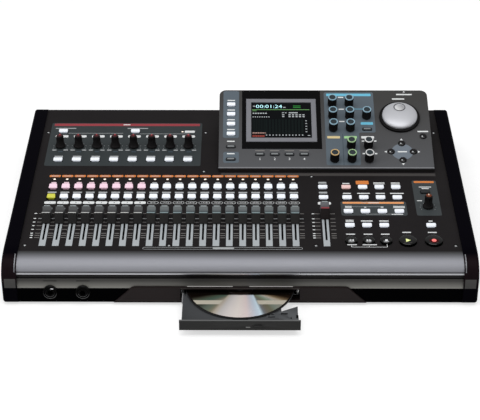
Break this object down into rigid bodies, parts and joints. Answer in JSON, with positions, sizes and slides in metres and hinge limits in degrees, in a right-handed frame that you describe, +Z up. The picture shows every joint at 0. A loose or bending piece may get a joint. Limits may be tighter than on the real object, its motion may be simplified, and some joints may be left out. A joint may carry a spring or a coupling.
{
  "type": "digital multitrack recorder",
  "caption": "Wide desktop multitrack recorder with faders, knobs, keys, a raised screen pod with jog wheel, and a slim front disc tray standing half open.",
  "frame": {"origin": "on the table, under the middle of the case's footprint", "axes": "+X to the object's right, +Y from the front to the rear sockets, +Z up"},
  "size_m": [0.514, 0.3968, 0.1044],
  "materials": {
    "case_black": "fine textured black paint",
    "panel_black": "satin dark brown-black",
    "pod_grey": "fine satin grain",
    "palm_metal": "metallic grey paint",
    "fascia_gloss": "polished, with a metallic grey upper band",
    "cheek_gloss": "piano gloss",
    "window_black": "polished",
    "bezel_grey": "satin frame round a lit screen",
    "board_green": "solder mask",
    "drive_steel": "plain sheet",
    "slot_plate": "pale satin",
    "control_black": "satin",
    "socket_black": "satin",
    "foot_rubber": "matt",
    "screw_steel": "bright",
    "tray_grey": "satin dark grey",
    "disc_mirror": "mirror with fine circular tracks",
    "fader_grey": "satin",
    "jog_silver": "pearl",
    "knob_black": "soft satin",
    "key_white": "translucent satin",
    "key_dark": "satin",
    "key_black": "gloss"
  },
  "bodies": {
    "case": {"bottom_case": "case_black", "top_panel": "panel_black", "display_pod": "pod_grey", "palm_rest": "palm_metal", "front_fascia": "fascia_gloss", "left_end_cheek": "cheek_gloss", "right_end_cheek": "cheek_gloss", "rear_panel": "case_black", "display_window": "window_black", "display_module": "bezel_grey", "control_board": "board_green", "main_board": "board_green", "hard_drive": "drive_steel", "slide_potentiometers": "slot_plate", "rotary_controls": "control_black", "sockets": "socket_black", "optical_drive": "drive_steel", "rubber_feet": "foot_rubber", "screws": "screw_steel"},
    "tray": {"disc_tray": "tray_grey"},
    "disc": {"disc": "disc_mirror"},
    "eject_button": {"eject_button": "tray_grey"},
    "master_fader": {"master_fader": "fader_grey"},
    "fader_bank_1": {"fader_bank_1": "fader_grey"},
    "fader_bank_2": {"fader_bank_2": "fader_grey"},
    "fader_bank_3": {"fader_bank_3": "fader_grey"},
    "fader_bank_4": {"fader_bank_4": "fader_grey"},
    "fader_bank_5": {"fader_bank_5": "fader_grey"},
    "jog_wheel": {"jog_wheel": "jog_silver"},
    "transport_keys": {"transport_keys": "key_black"},
    "record_arm_keys": {"record_arm_keys": "key_white"},
    "select_keys": {"select_keys": "key_white"},
    "edit_keys": {"edit_keys": "key_white"},
    "locate_keys": {"locate_keys": "key_white"},
    "input_keys": {"input_keys": "key_white"},
    "menu_keys": {"menu_keys": "key_white"},
    "function_keys": {"function_keys": "key_dark"},
    "cursor_keys": {"cursor_keys": "key_dark"},
    "power_switch": {"power_switch": "control_black"},
    "monitor_knob": {"monitor_knob": "knob_black"},
    "trim_knob_1": {"trim_knob_1": "knob_black"},
    "trim_knob_2": {"trim_knob_2": "knob_black"},
    "trim_knob_3": {"trim_knob_3": "knob_black"},
    "trim_knob_4": {"trim_knob_4": "knob_black"},
    "trim_knob_5": {"trim_knob_5": "knob_black"},
    "trim_knob_6": {"trim_knob_6": "knob_black"},
    "trim_knob_7": {"trim_knob_7": "knob_black"},
    "trim_knob_8": {"trim_knob_8": "knob_black"},
    "pod_knob_01": {"pod_knob_01": "knob_black"},
    "pod_knob_02": {"pod_knob_02": "knob_black"},
    "pod_knob_03": {"pod_knob_03": "knob_black"},
    "pod_knob_04": {"pod_knob_04": "knob_black"},
    "pod_knob_05": {"pod_knob_05": "knob_black"},
    "pod_knob_06": {"pod_knob_06": "knob_black"},
    "pod_knob_07": {"pod_knob_07": "knob_black"},
    "pod_knob_08": {"pod_knob_08": "knob_black"},
    "pod_knob_09": {"pod_knob_09": "knob_black"},
    "pod_knob_10": {"pod_knob_10": "knob_black"},
    "pod_knob_11": {"pod_knob_11": "knob_black"},
    "pod_knob_12": {"pod_knob_12": "knob_black"}
  },
  "joints": [
    {"name": "tray_slide", "type": "slide", "parent": "case", "child": "tray", "axis": [0, -1, 0], "range_m": [-0.0587, 0.056]},
    {"name": "disc_spin", "type": "hinge", "parent": "tray", "child": "disc", "pos_m": [0, -0.1583, 0.015], "axis": [0, 0, 1], "continuous": true},
    {"name": "eject_press", "type": "slide", "parent": "tray", "child": "eject_button", "axis": [0, 1, 0], "range_m": [0, 0.0008], "stiffness_N_per_m": 400, "springref_m": -0.001},
    {"name": "master_fader_slide", "type": "slide", "parent": "case", "child": "master_fader", "axis": [0, 0.9999, 0.0157], "range_m": [-0.0475, 0]},
    {"name": "fader_bank_1_slide", "type": "slide", "parent": "case", "child": "fader_bank_1", "axis": [0, 0.9999, 0.0157], "range_m": [-0.0381, 0.0094]},
    {"name": "fader_bank_2_slide", "type": "slide", "parent": "case", "child": "fader_bank_2", "axis": [0, 0.9999, 0.0157], "range_m": [-0.0381, 0.0094]},
    {"name": "fader_bank_3_slide", "type": "slide", "parent": "case", "child": "fader_bank_3", "axis": [0, 0.9999, 0.0157], "range_m": [-0.0381, 0.0094]},
    {"name": "fader_bank_4_slide", "type": "slide", "parent": "case", "child": "fader_bank_4", "axis": [0, 0.9999, 0.0157], "range_m": [-0.0381, 0.0094]},
    {"name": "fader_bank_5_slide", "type": "slide", "parent": "case", "child": "fader_bank_5", "axis": [0, 0.9999, 0.0157], "range_m": [-0.0381, 0.0094]},
    {"name": "jog_turn", "type": "hinge", "parent": "case", "child": "jog_wheel", "pos_m": [0.1905, 0.09709, 0.08326], "axis": [0, -0.299, 0.9542], "continuous": true},
    {"name": "transport_keys_press", "type": "slide", "parent": "case", "child": "transport_keys", "axis": [0, 0.0157, -0.9999], "range_m": [0, 0.0008], "stiffness_N_per_m": 600, "springref_m": -0.002},
    {"name": "record_arm_keys_press", "type": "slide", "parent": "case", "child": "record_arm_keys", "axis": [0, 0.0157, -0.9999], "range_m": [0, 0.0008], "stiffness_N_per_m": 600, "springref_m": -0.002},
    {"name": "select_keys_press", "type": "slide", "parent": "case", "child": "select_keys", "axis": [0, 0.0157, -0.9999], "range_m": [0, 0.0008], "stiffness_N_per_m": 600, "springref_m": -0.002},
    {"name": "edit_keys_press", "type": "slide", "parent": "case", "child": "edit_keys", "axis": [0, 0.0157, -0.9999], "range_m": [0, 0.0008], "stiffness_N_per_m": 600, "springref_m": -0.002},
    {"name": "locate_keys_press", "type": "slide", "parent": "case", "child": "locate_keys", "axis": [0, 0.0157, -0.9999], "range_m": [0, 0.0008], "stiffness_N_per_m": 600, "springref_m": -0.002},
    {"name": "input_keys_press", "type": "slide", "parent": "case", "child": "input_keys", "axis": [0, 0.0157, -0.9999], "range_m": [0, 0.0008], "stiffness_N_per_m": 600, "springref_m": -0.002},
    {"name": "menu_keys_press", "type": "slide", "parent": "case", "child": "menu_keys", "axis": [0, 0.299, -0.9542], "range_m": [0, 0.0008], "stiffness_N_per_m": 600, "springref_m": -0.002},
    {"name": "function_keys_press", "type": "slide", "parent": "case", "child": "function_keys", "axis": [0, 0.299, -0.9542], "range_m": [0, 0.0008], "stiffness_N_per_m": 600, "springref_m": -0.002},
    {"name": "cursor_keys_press", "type": "slide", "parent": "case", "child": "cursor_keys", "axis": [0, 0.299, -0.9542], "range_m": [0, 0.0008], "stiffness_N_per_m": 600, "springref_m": -0.002},
    {"name": "power_rock", "type": "hinge", "parent": "case", "child": "power_switch", "pos_m": [0.212, 0.1635, 0.028], "axis": [1, 0, 0], "range_deg": [-14, 0]},
    {"name": "monitor_knob_turn", "type": "hinge", "parent": "case", "child": "monitor_knob", "pos_m": [0.2118, -0.05451, 0.05237], "axis": [0, -0.0157, 0.9999], "range_deg": [-150, 150]},
    {"name": "trim_knob_1_turn", "type": "hinge", "parent": "case", "child": "trim_knob_1", "pos_m": [-0.2164, 0.07647, 0.05443], "axis": [0, -0.0157, 0.9999], "range_deg": [-150, 150]},
    {"name": "trim_knob_2_turn", "type": "hinge", "parent": "case", "child": "trim_knob_2", "pos_m": [-0.19445, 0.07647, 0.05443], "axis": [0, -0.0157, 0.9999], "range_deg": [-150, 150]},
    {"name": "trim_knob_3_turn", "type": "hinge", "parent": "case", "child": "trim_knob_3", "pos_m": [-0.1725, 0.07647, 0.05443], "axis": [0, -0.0157, 0.9999], "range_deg": [-150, 150]},
    {"name": "trim_knob_4_turn", "type": "hinge", "parent": "case", "child": "trim_knob_4", "pos_m": [-0.15055, 0.07647, 0.05443], "axis": [0, -0.0157, 0.9999], "range_deg": [-150, 150]},
    {"name": "trim_knob_5_turn", "type": "hinge", "parent": "case", "child": "trim_knob_5", "pos_m": [-0.1286, 0.07647, 0.05443], "axis": [0, -0.0157, 0.9999], "range_deg": [-150, 150]},
    {"name": "trim_knob_6_turn", "type": "hinge", "parent": "case", "child": "trim_knob_6", "pos_m": [-0.10665, 0.07647, 0.05443], "axis": [0, -0.0157, 0.9999], "range_deg": [-150, 150]},
    {"name": "trim_knob_7_turn", "type": "hinge", "parent": "case", "child": "trim_knob_7", "pos_m": [-0.0847, 0.07647, 0.05443], "axis": [0, -0.0157, 0.9999], "range_deg": [-150, 150]},
    {"name": "trim_knob_8_turn", "type": "hinge", "parent": "case", "child": "trim_knob_8", "pos_m": [-0.06275, 0.07647, 0.05443], "axis": [0, -0.0157, 0.9999], "range_deg": [-150, 150]},
    {"name": "pod_knob_01_turn", "type": "hinge", "parent": "case", "child": "pod_knob_01", "pos_m": [0.1102, 0.11732, 0.0896], "axis": [0, -0.299, 0.9542], "continuous": true},
    {"name": "pod_knob_02_turn", "type": "hinge", "parent": "case", "child": "pod_knob_02", "pos_m": [0.1305, 0.11732, 0.0896], "axis": [0, -0.299, 0.9542], "continuous": true},
    {"name": "pod_knob_03_turn", "type": "hinge", "parent": "case", "child": "pod_knob_03", "pos_m": [0.1102, 0.09814, 0.08359], "axis": [0, -0.299, 0.9542], "continuous": true},
    {"name": "pod_knob_04_turn", "type": "hinge", "parent": "case", "child": "pod_knob_04", "pos_m": [0.1305, 0.09814, 0.08359], "axis": [0, -0.299, 0.9542], "continuous": true},
    {"name": "pod_knob_05_turn", "type": "hinge", "parent": "case", "child": "pod_knob_05", "pos_m": [0.1508, 0.09814, 0.08359], "axis": [0, -0.299, 0.9542], "continuous": true},
    {"name": "pod_knob_06_turn", "type": "hinge", "parent": "case", "child": "pod_knob_06", "pos_m": [0.1102, 0.07896, 0.07758], "axis": [0, -0.299, 0.9542], "continuous": true},
    {"name": "pod_knob_07_turn", "type": "hinge", "parent": "case", "child": "pod_knob_07", "pos_m": [0.1305, 0.07896, 0.07758], "axis": [0, -0.299, 0.9542], "continuous": true},
    {"name": "pod_knob_08_turn", "type": "hinge", "parent": "case", "child": "pod_knob_08", "pos_m": [0.1305, 0.05177, 0.06905], "axis": [0, -0.299, 0.9542], "continuous": true},
    {"name": "pod_knob_09_turn", "type": "hinge", "parent": "case", "child": "pod_knob_09", "pos_m": [0.1508, 0.05177, 0.06905], "axis": [0, -0.299, 0.9542], "continuous": true},
    {"name": "pod_knob_10_turn", "type": "hinge", "parent": "case", "child": "pod_knob_10", "pos_m": [0.1102, 0.03201, 0.06286], "axis": [0, -0.299, 0.9542], "continuous": true},
    {"name": "pod_knob_11_turn", "type": "hinge", "parent": "case", "child": "pod_knob_11", "pos_m": [0.1305, 0.03201, 0.06286], "axis": [0, -0.299, 0.9542], "continuous": true},
    {"name": "pod_knob_12_turn", "type": "hinge", "parent": "case", "child": "pod_knob_12", "pos_m": [0.1508, 0.03201, 0.06286], "axis": [0, -0.299, 0.9542], "continuous": true}
  ]
}
